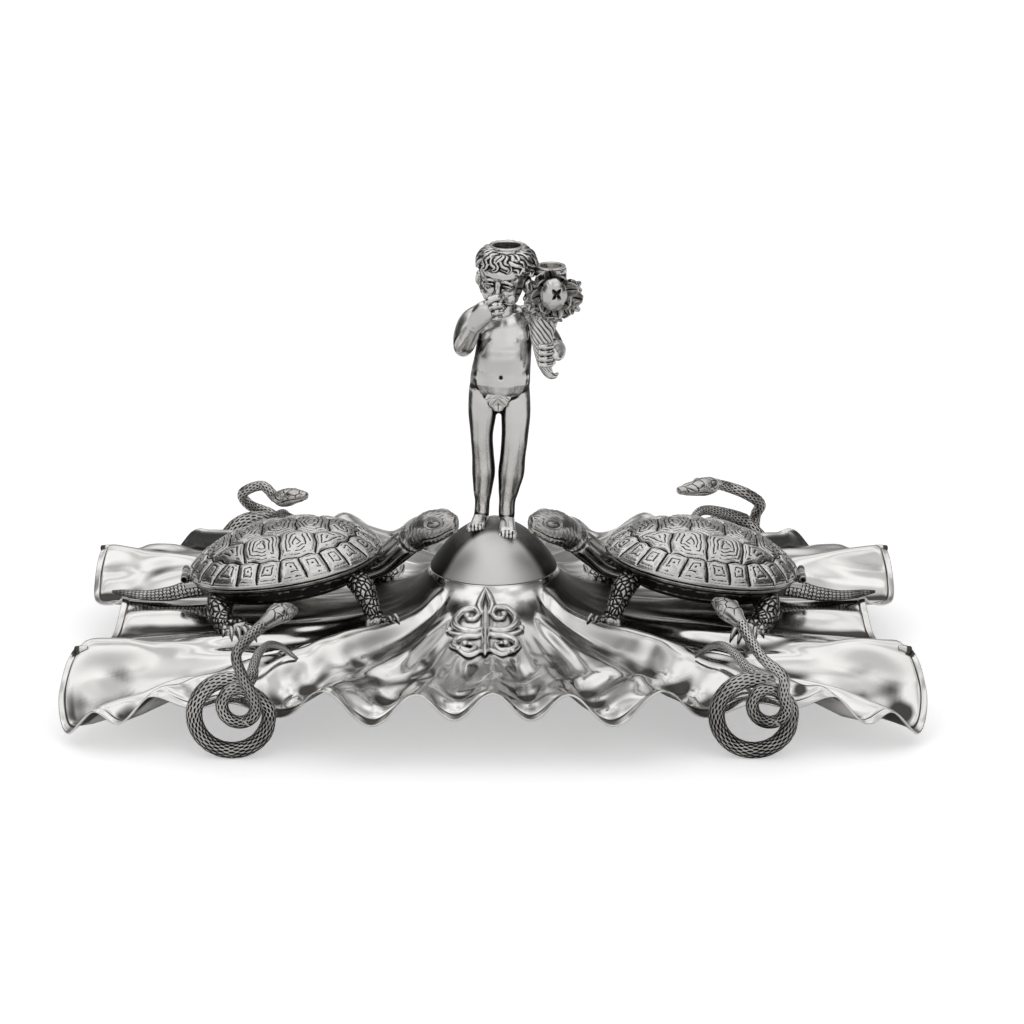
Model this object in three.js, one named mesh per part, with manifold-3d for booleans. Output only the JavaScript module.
// Desk inkstand: a fluted tray on four serpent feet, two turtle inkwells, and a child with a horn on a hinged dome.
// Millimetres, +Z up, the front with the ornament faces -Y, the floor is z = 0.
import * as THREE from "three";
import Module from "manifold-3d";

const wasm = await Module();
wasm.setup();

// Clearances shared by all pieces.
const gap = 0.3; // air between two pieces that touch
const overrun = 3; // how far a cutting solid runs past what it cuts
const swingGap = 0.6; // air around a lid that swings

// Rings of the serpent feet, and the notches of the tray's edge that keep clear of them.
const ringX = 130;
const ringY = 128.7;
const ringRadius = 18.6;
const bodyRadius = 4.2;
const notchInnerAir = 5.4; // how far the notch starts inside the ring, towards the middle of the tray
const notchOuterAir = 1.4;
const notchMouth = 3.5; // how far the sides of the notch stay behind the ring's middle plane
const notchDepth = 5.1;
const notchInner = ringX - ringRadius - notchInnerAir;
const notchOuter = ringX + ringRadius + notchOuterAir;
const notchSides = ringY - notchMouth;
const notchFloor = ringY - notchDepth;

// Tray: crests and dips along the wavy edge, from the front middle round the right end to the back middle.
const trayEdge = [
  [0, -142, 39], [19, -146, 27], [38, -142, 38.5], [60, -146, 24], [84, -140, 40],
  [notchInner, -notchSides, 21], [ringX, -notchFloor, 28], [notchOuter, -notchSides, 26],
  [172, -124, 31], [187, -126, 18], [200, -121, 23], [214, -113, 8],
  [219, -96, 22], [212, -79, 40], [203, -57, 32], [197, -34, 31], [195, -14, 35], [194, 0, 40],
  [198, 14, 33], [212, 42, 25], [214, 62, 30], [211, 79, 41], [205, 97, 31], [193, 118, 29],
  [179, 126, 23], [162, 122, 38], [notchOuter, notchSides, 30], [ringX, notchFloor, 40],
  [notchInner, notchSides, 25], [84, 141, 41], [60, 146, 27], [41, 142, 38.5], [20, 146, 28], [0, 142, 39],
];
const trayThick = 2;
const floorAtDome = 42; // height of the tray's floor where it leaves the dome
const floorFallShare = 0.075; // how far the floor drops for each step outwards
const skirtReachFront = 15; // how far the dome's skirt runs out at the front and back
const skirtReachSide = 9;
const foldGrowthShare = 1.6; // power that lets the folds grow towards the edge
const footRidge = 11; // height of the fold that runs out to each serpent
const footRidgeDeg = 7;
const footDeg = 43; // direction of the serpents, from the X axis
const edgeSteps = 2; // samples from one edge point to the next
const trayRings = 7;

// Dome and its compartment.
const seamRadius = 33;
const seamHeight = 57.6;
const domeTop = 83;
const domeWall = 2;
const domeRoundShare = 0.9;
const ledgeWidth = 5.4;
const ledgeRadius = seamRadius - ledgeWidth;
const ledgeDrop = 7.6; // how far the ledge of the compartment lies below the seam
const ledgeHeight = seamHeight - ledgeDrop;
const ledgeThick = 2.4;
const boxClear = 1; // air round the box inside the ledge
const boxRadius = ledgeRadius - boxClear;
const boxDepth = 15;
const boxWall = 1.4;
const boxFlangeWidth = 3.6;
const boxFlange = boxRadius + boxFlangeWidth;
const roundSegments = 24;

// Hinges.
const pinRadius = 0.8;
const pinHole = 1.1;
const knuckleRadius = 1.9;
const knuckleLength = 6;
const knuckleSegments = 10;

// Turtle, built on the left and mirrored for the right; its own frame lies in the plane of the shell's rim.
const turtleAt = [-108.2, -4, 61];
const turtleNoseUpDeg = 9;
const shellHalfLength = 51;
const shellHalfWidth = 40;
const shellRim = 2.2;
const shellHeight = 20.5;
const shellWall = 1.8;
const shellRoundShare = 0.82;
const bellyInset = 3.5; // how far the belly stays inside the shell's rim
const bellyHalfLength = shellHalfLength - bellyInset;
const bellyDepth = 13.5;
const bellyWall = 2;
const deckInset = 2.9;
const deckHalfLength = bellyHalfLength - deckInset;
const deckDrop = 3.4;
const deckThick = 1.6;
const inkRadius = 16.5;
const inkFlange = 19;
const inkWall = 1.6;
const inkMouth = 12;
const inkTop = 7.5;
const inkShoulder = 4;
const inkFloorGap = 1.3;
const shellSegments = 24;
const inkSegments = 18;

// Figure and horn sockets.
const headSocket = 7.2; // inner radius of the socket in the head
const headSocketAt = [6.9, -3.5, 229.6];
const headSocketDepth = 15;
const hornSocket = 5.6;
const hornSocketAt = [29.4, -7, 219.8];
const hornSocketDepth = 11;
const socketWall = 1;
const studRadius = 1.3;
const studDrop = 7.5;
const nutRadius = 2.9;
const nutThick = 2;

// The rest of the serpent feet.
const padCut = 0.5; // how much the bottom of each ring is ground flat
const ringHeight = ringRadius + bodyRadius - padCut;
const loopShare = 0.457; // radius of the small loop, of the ring's
const loopRiseShare = 0.414; // how far the loop's middle lies above the ring's, of the ring's radius
const loopRadius = ringRadius * loopShare;
const loopHeight = ringHeight + ringRadius * loopRiseShare;
const loopThick = 3.3; // half width of the body in the small loop
const throatThick = 3.2;
const loopForward = 9; // how far the small loop ends in front of the ring
const serpentSides = 6;
const throatSteps = 1.5;

const rad = THREE.MathUtils.degToRad;
const v3 = (p) => new THREE.Vector3(p[0], p[1], p[2]);
const lerp = THREE.MathUtils.lerp;

// Materials.
const metal = (colour, roughness) => new THREE.MeshStandardMaterial({ color: colour, roughness, metalness: 1 });
const silver = metal(0xc9c8c4, 0.25);
const satin = metal(0xaeada8, 0.35);
const dark = metal(0x5c5b58, 0.45);
const steel = metal(0x8f9193, 0.4);
const glass = new THREE.MeshStandardMaterial({ color: 0xb9c8c6, roughness: 0.08, metalness: 0 });

// A closed solid from rings of points that all have the same number of points.
function fromRings(rings) {
  const count = rings[0].length;
  const points = rings.flat();
  const faces = [];
  rings.slice(1).forEach((_, r) => {
    for (let i = 0; i < count; i += 1) {
      const j = (i + 1) % count;
      const a = r * count;
      const b = a + count;
      faces.push(a + i, a + j, b + j, a + i, b + j, b + i);
    }
  });
  const last = (rings.length - 1) * count;
  for (const [start, turn] of [[0, -1], [last, 1]]) {
    const middle = points.length;
    const centre = new THREE.Vector3();
    for (let i = 0; i < count; i += 1) centre.addScaledVector(points[start + i], 1 / count);
    points.push(centre);
    for (let i = 0; i < count; i += 1) {
      const j = (i + 1) % count;
      if (turn > 0) faces.push(start + i, start + j, middle);
      else faces.push(start + j, start + i, middle);
    }
  }
  return solid(points, faces);
}

function solid(points, faces) {
  const vertProperties = new Float32Array(points.flatMap((p) => [p.x, p.y, p.z]));
  return new wasm.Manifold(new wasm.Mesh({ numProp: 3, vertProperties, triVerts: new Uint32Array(faces) }));
}

// Stations are [x, y, z, half width, half height]; more of them are read off a smooth curve through the given ones.
function smooth(stations, steps) {
  const at = new THREE.CatmullRomCurve3(stations.map(v3), false, "centripetal");
  const size = new THREE.CatmullRomCurve3(
    stations.map((s) => new THREE.Vector3(s[3], s[4] ?? s[3], 0)), false, "catmullrom", 0.3);
  const total = Math.round((stations.length - 1) * steps);
  return Array.from({ length: total + 1 }, (_, i) => {
    const p = at.getPoint(i / total);
    const r = size.getPoint(i / total);
    return [p.x, p.y, p.z, r.x, r.y];
  });
}

// A tapering limb with elliptical sections; the section's frame is carried along without twisting.
function limb(stations, sides, grow = 0, up = new THREE.Vector3(0, 0, 1)) {
  const centres = stations.map(v3);
  let normal = up.clone();
  const rings = stations.map(([, , , wide, tall], i) => {
    const ahead = centres[Math.min(i + 1, centres.length - 1)];
    const behind = centres[Math.max(i - 1, 0)];
    const along = ahead.clone().sub(behind).normalize();
    const side = along.clone().cross(normal).normalize();
    normal = side.clone().cross(along).normalize();
    return Array.from({ length: sides }, (_, k) => {
      const turn = (2 * Math.PI * (k + 0.5)) / sides;
      return centres[i].clone()
        .addScaledVector(side, -Math.cos(turn) * (wide + grow))
        .addScaledVector(normal, Math.sin(turn) * ((tall ?? wide) + grow));
    });
  });
  return fromRings(rings);
}

// An outline [radius, height] turned about the Z axis; one that doesn't start on the axis is closed first.
function turned(profile, segments = roundSegments) {
  const outline = profile[0][0] > 0 ? [...profile, profile[0]] : profile;
  const geometry = new THREE.LatheGeometry(outline.map(([r, z]) => new THREE.Vector2(r, z)), segments);
  geometry.rotateX(Math.PI / 2);
  return fromGeometry(geometry);
}

function fromGeometry(geometry) {
  const source = geometry.index ? geometry.toNonIndexed() : geometry;
  const position = source.getAttribute("position");
  const keys = new Map();
  const points = [];
  const corners = [];
  for (let i = 0; i < position.count; i += 1) {
    const p = new THREE.Vector3().fromBufferAttribute(position, i);
    const key = p.toArray().map((c) => Math.round(c * 1e4)).join();
    if (!keys.has(key)) {
      keys.set(key, points.length);
      points.push(p);
    }
    corners.push(keys.get(key));
  }
  const faces = [];
  for (let i = 0; i < corners.length; i += 3) {
    const [a, b, c] = corners.slice(i, i + 3);
    if (a !== b && b !== c && c !== a) faces.push(a, b, c);
  }
  const made = solid(points, faces);
  return made.volume() < 0 ? solid(points, faces.reverse()) : made;
}

function rod(radius, length, segments = knuckleSegments) {
  return turned([[0, -length / 2], [radius, -length / 2], [radius, length / 2], [0, length / 2]], segments);
}

function block(size) {
  return fromGeometry(new THREE.BoxGeometry(...size));
}

const union = (pieces) => pieces.reduce((a, b) => a.add(b));

// Tray surface: a height for each direction and distance from the centre.
const halfEdge = trayEdge.map(v3);
const leftEdge = halfEdge.slice(1, -1).reverse().map((p) => new THREE.Vector3(-p.x, p.y, p.z));
const edgeCurve = new THREE.CatmullRomCurve3([...halfEdge, ...leftEdge], true, "centripetal");
const edgeCount = (halfEdge.length + leftEdge.length) * edgeSteps;
const edgePoints = Array.from({ length: edgeCount }, (_, i) => edgeCurve.getPoint(i / edgeCount));
const direction = (x, y) => (Math.atan2(x, -y) + 2 * Math.PI) % (2 * Math.PI);

function edgeAt(turn) {
  const turns = edgePoints.map((p) => direction(p.x, p.y));
  let k = turns.findIndex((t, i) => i > 0 && t > turn);
  if (k < 0) k = edgeCount;
  const a = edgePoints[k - 1];
  const b = edgePoints[k % edgeCount];
  const end = k === edgeCount ? 2 * Math.PI : turns[k];
  const share = (turn - turns[k - 1]) / (end - turns[k - 1]);
  return { reach: lerp(Math.hypot(a.x, a.y), Math.hypot(b.x, b.y), share), height: lerp(a.z, b.z, share) };
}

function trayHeight(x, y, edge = edgeAt(direction(x, y))) {
  const r = Math.hypot(x, y);
  const share = Math.max(0, Math.min(1, (r - seamRadius) / (edge.reach - seamRadius)));
  const floor = (d) => floorAtDome - floorFallShare * d;
  const facing = Math.abs(y) / Math.max(r, seamRadius);
  const skirtReach = lerp(skirtReachSide, skirtReachFront, facing * facing);
  const skirt = (seamHeight - floor(seamRadius)) * Math.exp(-(r - seamRadius) / skirtReach);
  const fold = (edge.height - floor(edge.reach)) * Math.pow(share, foldGrowthShare);
  const off = THREE.MathUtils.radToDeg(Math.atan2(Math.abs(y), Math.abs(x))) - footDeg;
  const riseShare = 6.75 * share * share * (1 - share); // one at two thirds of the way out, nothing at both ends
  const ridge = footRidge * Math.exp(-((off / footRidgeDeg) ** 2)) * riseShare;
  return floor(r) + skirt + fold + ridge;
}

// The sheet between the surface lowered by `below` and raised by `above`.
function traySheet(above, below, outwards = 0) {
  const grid = edgePoints.map((p) => {
    const reach = Math.hypot(p.x, p.y);
    return Array.from({ length: trayRings + 1 }, (_, j) => {
      const share = Math.pow(j / trayRings, 1.15);
      const r = lerp(seamRadius, reach, share);
      const x = (p.x * r) / reach;
      const y = (p.y * r) / reach;
      return new THREE.Vector3(x, y, trayHeight(x, y, { reach, height: p.z }));
    });
  });
  const at = (i, j) => grid[(i + edgeCount) % edgeCount][Math.max(0, Math.min(trayRings, j))];
  const normalAt = (i, j) => {
    const round = at(i + 1, j).clone().sub(at(i - 1, j));
    const out = at(i, j + 1).clone().sub(at(i, j - 1));
    return out.cross(round).normalize();
  };
  const rings = edgePoints.map((p, i) => {
    const outward = new THREE.Vector3(p.x, p.y, 0).normalize().multiplyScalar(outwards);
    const upper = grid[i].map((q, j) => q.clone().addScaledVector(normalAt(i, j), above));
    const lower = grid[i].map((q, j) => q.clone().addScaledVector(normalAt(i, j), -below));
    upper[trayRings].add(outward);
    lower[trayRings].add(outward);
    return [...upper, ...lower.reverse()];
  });
  const count = rings[0].length;
  const faces = [];
  rings.forEach((_, i) => {
    for (let k = 0; k < count; k += 1) {
      const a = i * count + k;
      const b = i * count + ((k + 1) % count);
      const c = ((i + 1) % edgeCount) * count + ((k + 1) % count);
      const d = ((i + 1) % edgeCount) * count + k;
      faces.push(a, b, c, a, c, d);
    }
  });
  return solid(rings.flat(), faces);
}

const trayRoom = traySheet(gap, trayThick + gap, gap);
const clearOfTray = (piece) => largest(piece.subtract(trayRoom));

// Cuts can leave a crumb: the largest body is the piece.
function largest(piece) {
  return piece.decompose().sort((a, b) => b.volume() - a.volume())[0];
}

const parts = [];
const addPart = (name, shape, material) => parts.push({ name, shape, material });

// A hinge line: [middle, direction as a turn about Z], with a pin and knuckles of two pieces.
function knuckle(at, alongDeg, offset, length = knuckleLength, radius = knuckleRadius) {
  return rod(radius, length).rotate([90, 0, 0]).translate([0, offset, 0])
    .rotate([0, 0, alongDeg]).translate(at);
}
const pinHoleAt = (at, alongDeg) => knuckle(at, alongDeg, 0, knuckleLength * 4, pinHole);
const sidePitch = knuckleLength + gap;

// Dome lid.
const domeHeight = (r, radius, top) =>
  seamHeight + gap + (top - seamHeight - gap) * Math.pow(Math.max(0, 1 - (r / radius) ** 2), domeRoundShare);
const roundShares = [1, 0.94, 0.82, 0.66, 0.46, 0.24, 0];
const domeOutline = (radius, top) => roundShares.map((s) => [radius * s, domeHeight(radius * s, radius, top)]);
const hingeAt = [0, seamRadius + knuckleRadius + 2 * gap, seamHeight + knuckleRadius + gap];
const domeShell = turned([
  ...domeOutline(seamRadius, domeTop),
  ...domeOutline(seamRadius - domeWall, domeTop - domeWall).reverse(),
]);
const lidArm = block([knuckleLength, knuckleRadius + domeWall, knuckleRadius])
  .translate([0, seamRadius - gap, hingeAt[2]]);
const feet = [[-6.4, -1, 0], [7, -6, 0]];
const studHoles = union(feet.map(([x, y]) =>
  rod(studRadius + gap, domeTop).translate([x, y, domeTop - domeTop / 6])));
const lid = union([domeShell, lidArm, knuckle(hingeAt, 90, 0)])
  .subtract(pinHoleAt(hingeAt, 90))
  .subtract(turned([[0, seamHeight - overrun], [seamRadius - domeWall, seamHeight - overrun],
    ...domeOutline(seamRadius - domeWall, domeTop - domeWall)]))
  .subtract(studHoles);
addPart("dome_lid", lid, silver);
addPart("dome_hinge_pin", knuckle(hingeAt, 90, 0, sidePitch * 3 - gap, pinRadius), steel);

// Tray with the collar and ledge of the compartment and two hinge knuckles.
const ledge = turned([
  [ledgeRadius, ledgeHeight - ledgeThick], [seamRadius, ledgeHeight - ledgeThick], [seamRadius, seamHeight],
  [seamRadius - domeWall, seamHeight], [seamRadius - domeWall, ledgeHeight], [ledgeRadius, ledgeHeight],
]);
const hingeLugs = [-1, 1].map((s) => union([
  knuckle(hingeAt, 90, s * sidePitch),
  block([knuckleLength, knuckleRadius * 2, hingeAt[2] - ledgeHeight])
    .translate([s * sidePitch, hingeAt[1], (hingeAt[2] + ledgeHeight) / 2]),
]));
const lidRoom = turned([[0, seamHeight], ...domeOutline(seamRadius + swingGap, domeTop)]);
const tray = union([traySheet(0, trayThick), ledge, ...hingeLugs])
  .subtract(pinHoleAt(hingeAt, 90))
  .subtract(lidRoom);
addPart("tray", largest(tray), silver);

// Compartment box under the dome.
const boxTop = ledgeHeight + gap;
addPart("dome_box", turned([
  [0, boxTop - boxDepth], [boxRadius, boxTop - boxDepth], [boxRadius, boxTop], [boxFlange, boxTop],
  [boxFlange, boxTop + boxWall], [boxRadius - boxWall, boxTop + boxWall],
  [boxRadius - boxWall, boxTop - boxDepth + boxWall], [0, boxTop - boxDepth + boxWall],
]), satin);

// Turtles.
const placeTurtle = (piece) =>
  piece.rotate([0, -turtleNoseUpDeg, 0]).translate(turtleAt);
const ovalShare = shellHalfWidth / shellHalfLength;
const oval = (profile) => turned(profile, shellSegments).scale([1, ovalShare, 1]);
const shellOutline = (halfLength, top) => roundShares.map((s) => [
  halfLength * s, shellRim + (top - shellRim) * Math.pow(1 - s ** 2.4, shellRoundShare)]);
const shellSolid = (grow) => oval([
  [0, -grow], [shellHalfLength + grow, -grow], ...shellOutline(shellHalfLength + grow, shellHeight + grow)]);
const tailHinge = [-shellHalfLength - knuckleRadius, 0, knuckleRadius / 2 + gap];
const swing = (piece, degrees) =>
  piece.translate([-tailHinge[0], 0, -tailHinge[2]]).rotate([0, -degrees, 0])
    .translate([tailHinge[0], 0, tailHinge[2]]);
const shellArm = block([knuckleRadius * 2, knuckleLength, knuckleRadius])
  .translate([-shellHalfLength - knuckleRadius / 4, 0, shellRim / 2]);
const carapace = union([
  oval([[shellHalfLength - shellWall * 2, 0], [shellHalfLength, 0],
    ...shellOutline(shellHalfLength, shellHeight),
    ...shellOutline(shellHalfLength - shellWall * 2, shellHeight - shellWall).reverse()]),
  shellArm, knuckle(tailHinge, 0, 0),
]).subtract(pinHoleAt(tailHinge, 0));

const bellyTop = -2 * gap;
const bellyOutline = (shrink, drop) => [
  [bellyHalfLength - shrink, bellyTop], [bellyHalfLength - shrink, bellyTop - bellyDepth * 0.3],
  [(bellyHalfLength - shrink) * 0.94, bellyTop - bellyDepth * 0.62 + drop / 2],
  [(bellyHalfLength - shrink) * 0.76, bellyTop - bellyDepth * 0.92 + drop],
  [0, bellyTop - bellyDepth + drop]];
const bellyBowl = oval([...bellyOutline(0, 0).reverse(),
  [deckHalfLength + gap, bellyTop], [deckHalfLength + gap, -deckDrop - gap],
  ...bellyOutline(bellyWall * 2, bellyWall).slice(1)]);
const tailLugs = [-1, 1].map((s) => union([
  knuckle(tailHinge, 0, s * sidePitch),
  block([knuckleRadius * 4, knuckleLength, knuckleRadius * 2])
    .translate([tailHinge[0] + knuckleRadius * 1.8, s * sidePitch, -knuckleRadius]),
]));
const shellCut = shellSolid(swingGap);
const belly = union([bellyBowl, union(tailLugs).subtract(shellCut)])
  .subtract(pinHoleAt(tailHinge, 0));
const bellyRoom = oval([...bellyOutline(-gap, -gap).reverse(), [0, bellyTop]]);
const deck = oval([[inkRadius + gap, -deckDrop], [deckHalfLength, -deckDrop], [deckHalfLength, -deckDrop + deckThick],
  [inkRadius + gap, -deckDrop + deckThick]])
  .subtract(rod(inkRadius + gap, overrun * 4, roundSegments));
const inkBottom = bellyTop - bellyDepth + bellyWall + inkFloorGap;
const flangeAt = -deckDrop + deckThick + gap;
const inkPot = turned([
  [0, inkBottom], [inkRadius, inkBottom], [inkRadius, flangeAt], [inkFlange, flangeAt],
  [inkFlange, flangeAt + inkWall], [inkRadius, flangeAt + inkWall], [inkRadius, inkShoulder], [inkMouth, inkTop],
  [inkMouth - inkWall, inkTop], [inkRadius - inkWall, inkShoulder - inkWall / 2],
  [inkRadius - inkWall, inkBottom + inkWall], [0, inkBottom + inkWall]], inkSegments);

// Fleshy parts of the left turtle, as stations in the inkstand's frame.
const neckStations = [[-67, -4, 58, 7.5, 7], [-57.5, -6, 63.5, 8.4, 8], [-47, -13, 73, 8, 7.6],
  [-38.5, -20.5, 81.5, 7.3, 7.2], [-33, -25, 86.3, 8, 8], [-27, -28, 88.8, 7.6, 7.6],
  [-22.5, -29.6, 89.8, 5.4, 5.6], [-18.8, -30.4, 90, 2.4, 2.8]];
const tailStations = [[-148, -4, 47.5, 4.6, 4.4], [-158.5, -4, 45.6, 4.4, 4.2], [-170, -4, 42.6, 3.6, 3.4],
  [-183, -3, 41.4, 2.6, 2.4], [-193, -1, 42.4, 1.9, 1.8], [-199, 0, 43, 1, 1]];
const foreLeg = [[-69, -27, 58, 6.2, 5.6], [-64, -34, 51.5, 5.4, 5], [-61, -38, 44.5, 4.7, 4.6],
  [-59.5, -40, 39.5, 5.6, 4.6], [-58.5, -43, 36.5, 6.8, 3.6]];
const hindLeg = [[-141, -26, 47, 7, 6.5], [-141, -33, 42.5, 6.6, 6], [-138, -38, 38, 5.8, 5.4],
  [-135, -40.5, 34.5, 6.2, 4.6], [-132, -43, 31.5, 6.8, 3.4]];
const acrossTurtle = (stations) => stations.map(([x, y, ...rest]) => [x, 2 * turtleAt[1] - y, ...rest]);
const lidSweepDeg = [0, 5, 12];
const fleshSteps = 1;
const shellSweep = union(lidSweepDeg.map((a) => placeTurtle(swing(shellCut, a))));
const bellyCut = placeTurtle(union([bellyRoom, ...tailLugs.map((l) => l.translate([0, 0, -gap]))]));
const flesh = (stations, sides) =>
  clearOfTray(limb(smooth(stations, fleshSteps), sides).subtract(bellyCut).subtract(shellSweep));

const turtlePieces = {
  carapace: [placeTurtle(carapace), satin],
  belly: [placeTurtle(belly), dark],
  deck: [placeTurtle(deck), satin],
  inkpot: [placeTurtle(inkPot), glass],
  hinge_pin: [placeTurtle(knuckle(tailHinge, 0, 0, sidePitch * 3 - gap, pinRadius)), steel],
  head: [flesh(neckStations, 10), dark],
  tail: [flesh(tailStations, 7), dark],
  foreleg_front: [flesh(foreLeg, 8), dark],
  foreleg_back: [flesh(acrossTurtle(foreLeg), 8), dark],
  hindleg_front: [flesh(hindLeg, 8), dark],
  hindleg_back: [flesh(acrossTurtle(hindLeg), 8), dark],
};
for (const [name, [shape, material]] of Object.entries(turtlePieces)) {
  addPart("turtle_left_" + name, shape, material);
  addPart("turtle_right_" + name, shape.mirror([1, 0, 0]), material);
}

// Serpents: x is counted from the middle of the ring, y and z are in the inkstand's frame.
// A station lower than the leaf is laid on it, so a height of 0 means that the tail rests there.
const serpents = {
  front_left: {
    x: -ringX, back: 1,
    tail: [[34, -99, 0, 1], [27, -102, 0, 1.8], [21, -109, 50, 2.6], [16, -118, 46, 3.3]],
    neck: [[11, -141, 38, 3], [7, -142, 47, 2.8], [3.5, -139, 57, 2.7], [8, -130, 62, 2.8], [15, -117, 65, 3.4],
      [22, -106, 67, 4.4], [27, -100, 67, 3.4], [30, -97, 66.5, 1.8]],
  },
  front_right: {
    x: ringX, back: 1,
    tail: [[-33, -99, 0, 1], [-26, -102, 0, 1.8], [-20, -109, 50, 2.6], [-9, -119, 47, 3.3]],
    neck: [[14, -141, 38, 3], [13.5, -141, 47, 2.8], [4, -137, 54.5, 2.7], [-2, -124, 60, 2.8], [-6, -113, 64.5, 3.4],
      [-10, -105, 67, 4.4], [-15, -99, 69.5, 3.4], [-18, -96, 70.5, 1.8]],
  },
  back_left: {
    x: -ringX, back: -1,
    tail: [[30, 100, 0, 1], [24, 104, 0, 1.8], [17, 111, 48, 2.6], [14, 120, 46, 3.3]],
    neck: [[9, 141, 38, 3], [-5, 138, 46, 3], [-8, 131, 55, 2.9], [3, 127, 60.5, 2.8], [10, 121, 56, 2.9],
      [15, 113, 58, 3.8], [21, 107, 61, 4.2], [27, 103, 62.5, 1.8]],
  },
  back_right: {
    x: ringX, back: -1,
    tail: [[-28, 101, 0, 1], [-24, 105, 0, 1.8], [-17, 112, 51, 2.6], [-2, 121, 46, 3.3]],
    neck: [[14, 141, 38, 3], [16, 136, 47, 3.2], [8, 130, 55, 3.2], [-2, 128, 59.5, 3], [-8, 122, 63, 2.8],
      [-13, 115, 64.5, 3.4], [-20, 109, 65, 4.4], [-29, 105, 65, 1.8]],
  },
};

function arc(centreX, centreZ, radius, fromDeg, toDeg, fromY, toY, thick, count) {
  return Array.from({ length: count + 1 }, (_, i) => {
    const t = i / count;
    const turn = rad(lerp(fromDeg, toDeg, t));
    return [centreX + radius * Math.cos(turn), lerp(fromY, toY, t), centreZ + radius * Math.sin(turn), thick];
  });
}

function serpent({ x, back, tail, neck }) {
  const plane = -ringY * back;
  const front = plane - loopForward * back;
  const lift = (stations) => stations.map(([sx, sy, sz, r]) =>
    [sx, sy, Math.max(sz, trayHeight(x + sx, sy) + r * 0.7), r]);
  const loopX = back > 0 && x > 0 ? loopRadius * 0.85 : loopRadius * 0.5;
  const coil = [...lift(tail), ...arc(0, ringHeight, ringRadius, 68, 380, plane, plane - back, bodyRadius, 14)];
  const loop = [
    ...arc(0, ringHeight, ringRadius, 350, 380, plane, plane - back, bodyRadius * 0.9, 2),
    ...arc(loopX, loopHeight, loopRadius, 75, 350, lerp(plane, front, 0.6), front, loopThick, 8)];
  const throat = [...arc(loopX, loopHeight, loopRadius, 290, 360, front, front - back, throatThick, 2), ...lift(neck)];
  const made = [coil, loop, smooth(throat, throatSteps)].map((stations) =>
    limb(stations.map(([sx, ...rest]) => [x + sx, ...rest]), serpentSides));
  const floorCut = block([ringX, ringX, overrun]).translate([x, plane, -overrun / 2]);
  return largest(union(made).subtract(floorCut).subtract(trayRoom));
}
for (const [name, route] of Object.entries(serpents)) addPart("serpent_" + name, serpent(route), dark);

// Child figure.
const torsoStations = [[3.4, 0, 137.5, 6, 6], [3.4, -0.5, 143, 13, 9], [3.4, -1, 152, 15.6, 11], [4.6, -3, 162, 14.6, 12],
  [5.6, -2, 172, 14.2, 11], [5.8, -1, 182, 14.8, 10], [4.6, -0.5, 189, 13.5, 8], [4.4, -1, 194, 7.4, 6.4],
  [5, -2.5, 199, 6, 5.6], [5.4, -4, 204, 5.6, 5.4]];
const legStations = [
  [[-5, -0.5, 147, 7.6, 8.5], [-7.3, -1, 133, 5.8, 7], [-6.2, -1.5, 123, 5.2, 5.8], [-5.3, -1, 115, 5.5, 6],
    [-5.6, -0.5, 104, 4.4, 4.8], [-5.8, 0, 94, 3.4, 3.8], [-6.2, -0.5, 85, 3.4, 4.2]],
  [[10.5, -0.5, 147, 8.2, 9], [11.3, -1.5, 133, 7.2, 7.4], [10.3, -2.5, 123, 6.2, 6.4], [9.5, -3, 115, 6.2, 6.2],
    [8, -3, 104, 5, 5], [7, -3, 95, 4, 4], [6.8, -4, 84.5, 3.6, 4.2]]];
const footStations = [
  [[-6, 4.5, 84, 2.4, 2.4], [-6.2, 1, 84.6, 3.6, 3.4], [-7, -4, 84.4, 4, 3.2], [-8.4, -10, 82.6, 4.8, 2.4],
    [-9.2, -13.5, 81.6, 3.8, 1.4]],
  [[6.8, 0.5, 83, 2.4, 2.4], [6.8, -3, 83.4, 3.8, 3.4], [6.9, -8, 82, 4.2, 3.2], [7, -14, 79.6, 5, 2.6],
    [7, -17.5, 77.6, 4.2, 1.5]]];
const headStations = [[5, -9.5, 198.6, 4, 5], [5.4, -8, 202, 8.6, 9.6], [5.8, -6.5, 208, 12.2, 13.2],
  [6.3, -5, 215, 14.6, 15], [6.6, -4, 221.5, 15.2, 15.2], [6.8, -3.6, 226.6, 12.8, 12.8], [6.9, -3.5, 229.6, 9.6, 9.6]];
const rightArm = [[[-6.5, -0.5, 189, 5.2, 5.4], [-12.4, -1.5, 183, 5.6, 5.8], [-15.2, -3, 174, 4.8, 5],
  [-14.6, -5, 171, 4.4, 4.6]],
[[-14.8, -4, 171.8, 4.6, 4.8], [-11.5, -10.5, 179, 4.6, 4.6], [-6.5, -16.5, 189.5, 3.4, 3.4], [-3.6, -18.6, 195, 3.6, 3],
  [-0.5, -20, 200.5, 4, 2.8], [4.6, -20.4, 205.4, 1.6, 1.5]]];
const leftArm = [[[17, 0, 188, 5.2, 5.4], [23.5, 3, 182.5, 5.2, 5.2], [31, 4, 176, 4.6, 4.6], [33.5, 2.5, 173.5, 4.2, 4.4]],
  [[33.2, 3.5, 174, 4.4, 4.6], [34, -3, 173.2, 4, 4], [31.5, -8.5, 173.4, 3.6, 4.4], [27, -14.5, 174.6, 3.4, 5.6],
    [22.5, -15, 174.8, 2.2, 4.6]]];
const hornStations = [[31.6, -9.5, 165, 1, 1], [30.4, -10.5, 161.8, 1.8, 1.8], [27.4, -11, 163.5, 2.6, 2.6],
  [26, -11, 170, 3.6, 3.6], [25.2, -11, 178, 4.6, 4.6], [24.6, -11.4, 185, 6, 6], [25.4, -10, 191, 8.2, 8.2],
  [28, -8, 196.5, 10, 10]];
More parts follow.
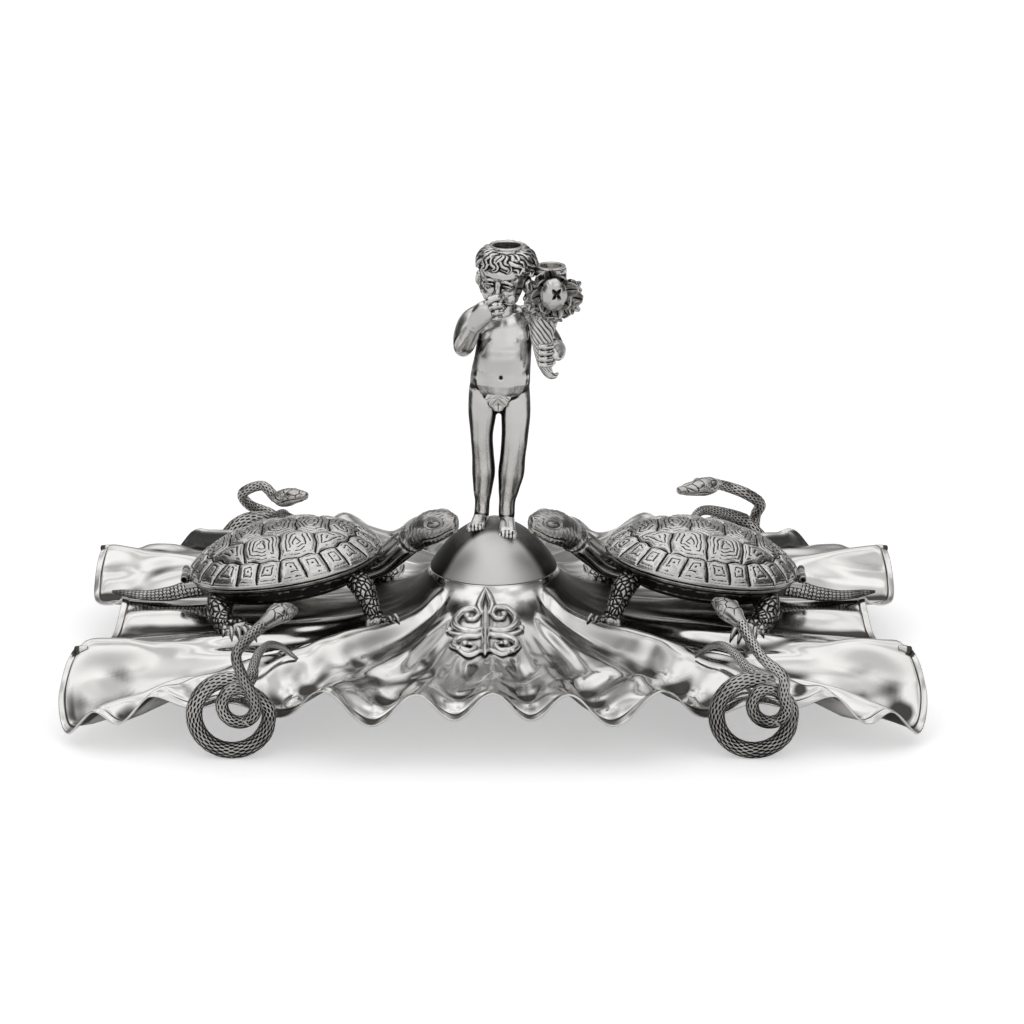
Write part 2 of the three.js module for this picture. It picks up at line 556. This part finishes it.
const bouquetStations = [[27.6, -8.5, 194, 5, 5], [28.6, -8.5, 197.5, 10.4, 9.6], [30, -8, 203.5, 13, 11],
  [30.6, -7.5, 209.5, 12, 10.4], [29.8, -7, 214, 7.4, 7], [29.4, -7, 216, 6.4, 6.4]];
const budStations = [[30.8, -15, 207, 3, 3.6], [30.8, -17.5, 207, 6.2, 7.6], [30.8, -20.5, 207, 6.8, 8.4],
  [30.8, -23, 207, 4.6, 5.8], [30.8, -23.8, 207, 2.2, 2.8]];
const leafStations = [[2.6, -11.2, 150.5, 2.6, 1.2], [2.4, -11.6, 147, 4.6, 1.6], [2.3, -11.2, 143.5, 4.4, 1.6],
  [2.2, -10.2, 139.5, 1.6, 1]];
const bodySides = 12;
const limbSides = 8;
const figureSteps = 1;
const back = new THREE.Vector3(0, 1, 0);
const up = new THREE.Vector3(0, 0, 1);
const figurePiece = (routes, sides, grow, normal) =>
  union(routes.map((stations) => limb(smooth(stations, figureSteps), sides, grow, normal)));
const standing = (grow) => union([
  figurePiece([torsoStations], bodySides, grow, back),
  figurePiece(legStations, limbSides, grow, back),
  figurePiece(footStations, limbSides, grow, up),
]);
const torsoRoom = standing(gap);
const headRoom = figurePiece([headStations], bodySides, gap, back);
const hornRoom = figurePiece([hornStations], limbSides + 2, gap, back);
const bouquetRoom = figurePiece([bouquetStations], bodySides, gap, back);
const rightArmRoom = figurePiece(rightArm, limbSides, gap, back);
const domeRoom = turned([[0, seamHeight], ...domeOutline(seamRadius + gap, domeTop + gap)]);
const studs = union(feet.map(([x, y]) => rod(studRadius, studDrop * 2).translate([x, y, domeTop - gap])));

const headBore = rod(headSocket + socketWall + gap, headSocketDepth * 2, 20)
  .add(rod(headSocket * 2, headSocketDepth).translate([0, 0, headSocketDepth / 2]))
  .translate(headSocketAt);
const socketCup = (radius, depth, flange) => turned([
  [0, -depth + gap], [radius + socketWall, -depth + gap], [radius + socketWall, gap], [flange, gap],
  [flange, gap + socketWall], [radius, gap + socketWall], [radius, -depth + gap + socketWall],
  [0, -depth + gap + socketWall]], 20);

addPart("child_body", standing(0).subtract(domeRoom).add(studs), silver);
addPart("child_head", largest(figurePiece([headStations], bodySides, 0, back)
  .subtract(torsoRoom).subtract(headBore)), silver);
addPart("head_socket", socketCup(headSocket, headSocketDepth, headSocket + socketWall * 2).translate(headSocketAt), satin);
addPart("child_arm_right", largest(figurePiece(rightArm, limbSides, 0, back)
  .subtract(torsoRoom).subtract(headRoom)), silver);
addPart("child_arm_left", largest(figurePiece(leftArm, limbSides, 0, back)
  .subtract(torsoRoom).subtract(hornRoom).subtract(bouquetRoom)), silver);
addPart("leaf_cover", largest(figurePiece([leafStations], limbSides, 0, back).subtract(torsoRoom)), dark);
addPart("horn", largest(figurePiece([hornStations], limbSides + 2, 0, back)
  .subtract(torsoRoom).subtract(headRoom).subtract(bouquetRoom)), silver);
const hornCup = rod(hornSocket + socketWall + gap, hornSocketDepth * 2, 20)
  .translate([hornSocketAt[0], hornSocketAt[1], hornSocketAt[2]]);
const budRoom = figurePiece([budStations], limbSides, gap, up);
addPart("bouquet", largest(figurePiece([bouquetStations], bodySides, 0, back)
  .subtract(headRoom).subtract(torsoRoom).subtract(rightArmRoom).subtract(hornCup).subtract(budRoom)), dark);
addPart("bud", figurePiece([budStations], limbSides, 0, up), silver);
addPart("horn_socket", socketCup(hornSocket, hornSocketDepth, hornSocket + socketWall * 2).translate(hornSocketAt), satin);
feet.forEach(([x, y], i) => {
  const under = domeHeight(Math.hypot(x, y) + nutRadius, seamRadius - domeWall, domeTop - domeWall) - nutThick - gap;
  addPart(i ? "foot_nut_right" : "foot_nut_left",
    rod(nutRadius, nutThick, 6).subtract(rod(studRadius + gap, nutThick * 2)).translate([x, y, under]), steel);
});

// Ornament: two mirrored scrolls crossed by a stem, laid on the skirt of the dome; strokes are [x, way down the skirt].
const ornamentX = -4;
const ornamentTop = -37;
const strokeHalf = 1.5;
const strokeRise = 1.1;
const strokeSides = 4;
const scroll = [[1.5, 4], [8, 2], [14, 6], [15, 14], [9, 19], [0, 22], [-9, 26], [-14, 32], [-10, 38], [-3, 38]];
const stem = [[0, -2], [0, 10], [0, 22], [0, 34], [0, 44]];
const bar = [[-17, 24], [-9, 20], [0, 22], [9, 20], [17, 24]];
const onSkirt = ([x, down]) => {
  const y = ornamentTop - down;
  return [ornamentX + x, y, trayHeight(ornamentX + x, y) + strokeRise, strokeHalf, strokeRise];
};
const flip = (stroke) => stroke.map(([x, down]) => [-x, down]);
const ornament = union([scroll, flip(scroll), stem, bar]
  .map((stroke) => limb(stroke.map(onSkirt), strokeSides)));
addPart("ornament", largest(ornament.subtract(traySheet(gap, trayThick * 4))), satin);

const root = new THREE.Group();
for (const { name, shape, material } of parts) {
  const mesh = shape.getMesh();
  const geometry = new THREE.BufferGeometry();
  geometry.setAttribute("position", new THREE.BufferAttribute(mesh.vertProperties.slice(), mesh.numProp));
  geometry.setIndex(new THREE.BufferAttribute(mesh.triVerts.slice(), 1));
  geometry.computeVertexNormals();
  const node = new THREE.Mesh(geometry, material);
  node.name = name;
  root.add(node);
}

export default root;
